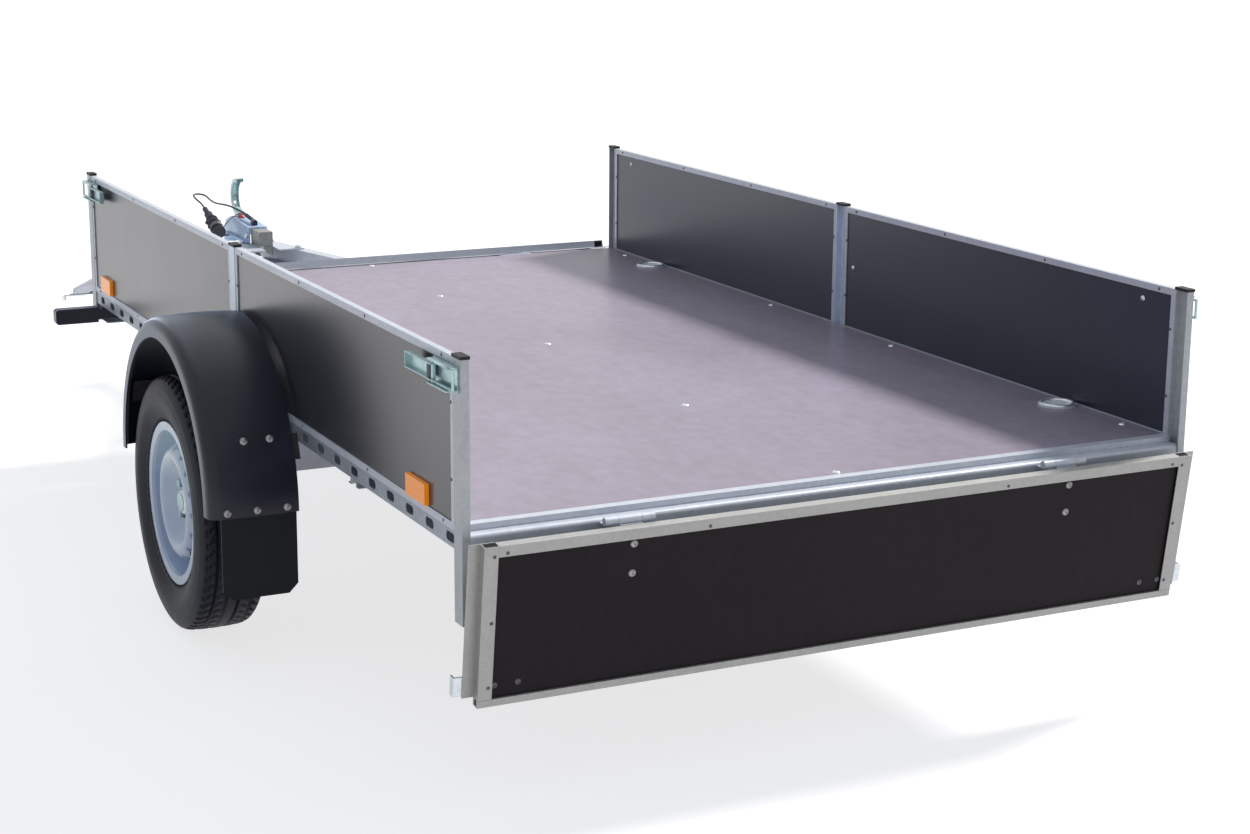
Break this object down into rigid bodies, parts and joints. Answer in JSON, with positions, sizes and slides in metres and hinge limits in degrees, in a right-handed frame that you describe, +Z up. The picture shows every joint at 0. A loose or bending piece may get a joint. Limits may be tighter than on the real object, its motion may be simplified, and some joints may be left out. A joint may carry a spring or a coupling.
{
  "type": "utility trailer",
  "caption": "Single-axle utility trailer with a flat plywood bed, fixed side panels, hinged tailboard and headboard, mudguards and a V drawbar with a ball coupling.",
  "frame": {"origin": "on the ground, under the middle of the trailer's length and width", "axes": "+X to the right, +Y forward towards the coupling, +Z up"},
  "size_m": [2.006, 4.1856, 0.85],
  "materials": {
    "galvanised": "hot-dip galvanised, satin",
    "bright_steel": "zinc plated",
    "coupling_steel": "zinc plated",
    "floor_plywood": "smooth phenolic film",
    "side_plywood": "phenolic film",
    "board_plywood": "phenolic film",
    "black_plastic": "moulded, satin",
    "rubber": "matt",
    "orange_lens": "clear lens",
    "red_lens": "clear lens",
    "tyre": "matt",
    "rim_silver": "silver",
    "cable_black": "matt",
    "cable_grey": "plastic-covered steel"
  },
  "bodies": {
    "chassis": {"axle_beam": "galvanised", "axle_hangers": "galvanised", "corner_posts": "galvanised", "coupling_handle": "coupling_steel", "coupling_head": "coupling_steel", "coupling_tail": "coupling_steel", "cross_members": "galvanised", "drawbar_arm_left": "galvanised", "drawbar_arm_right": "galvanised", "floor": "floor_plywood", "front_hinge_plates": "galvanised", "front_rail": "galvanised", "lamp_bar": "galvanised", "lashing_pans": "bright_steel", "latches_front": "bright_steel", "latches_rear": "bright_steel", "lead": "cable_black", "marker_lamps": "black_plastic", "middle_posts": "galvanised", "mud_flaps": "rubber", "mudguard_left": "black_plastic", "mudguard_right": "black_plastic", "mudguard_stays": "galvanised", "nose_plates": "galvanised", "plug": "black_plastic", "plug_holder": "bright_steel", "post_caps": "black_plastic", "prop_bracket": "galvanised", "rear_hinge_plates": "galvanised", "rear_lamps": "red_lens", "rear_rail": "galvanised", "side_frames_left": "galvanised", "side_frames_right": "galvanised", "side_panels_left": "side_plywood", "side_panels_right": "side_plywood", "side_rail_left": "galvanised", "side_rail_right": "galvanised", "side_reflectors": "orange_lens", "strain_relief": "black_plastic", "swing_arms": "galvanised", "tether": "cable_grey"},
    "tailboard": {"tailboard_ends": "galvanised", "tailboard_hinges": "galvanised", "tailboard_panel": "board_plywood", "tailboard_rails": "galvanised", "tailboard_receivers": "bright_steel"},
    "headboard": {"headboard_ends": "galvanised", "headboard_hinges": "galvanised", "headboard_panel": "board_plywood", "headboard_rails": "galvanised", "headboard_receivers": "bright_steel"},
    "prop_leg": {"prop_leg": "galvanised"},
    "wheel_left": {"tyre_left": "tyre", "rim_left": "rim_silver", "hub_left": "bright_steel"},
    "wheel_right": {"tyre_right": "tyre", "rim_right": "rim_silver", "hub_right": "bright_steel"}
  },
  "joints": [
    {"name": "tailboard_hinge", "type": "hinge", "parent": "chassis", "child": "tailboard", "pos_m": [0, -2.00098, 0.527], "axis": [-1, 0, 0], "range_deg": [0, 187.5]},
    {"name": "headboard_hinge", "type": "hinge", "parent": "chassis", "child": "headboard", "pos_m": [0, 0.70002, 0.527], "axis": [1, 0, 0], "range_deg": [0, 106]},
    {"name": "prop_leg_hinge", "type": "hinge", "parent": "chassis", "child": "prop_leg", "pos_m": [0, 1.14702, 0.349], "axis": [-1, 0, 0], "range_deg": [0, 90]},
    {"name": "wheel_left_spin", "type": "hinge", "parent": "chassis", "child": "wheel_left", "pos_m": [-0.911, -0.71098, 0.287], "axis": [1, 0, 0], "continuous": true},
    {"name": "wheel_right_spin", "type": "hinge", "parent": "chassis", "child": "wheel_right", "pos_m": [0.911, -0.71098, 0.287], "axis": [1, 0, 0], "continuous": true}
  ]
}
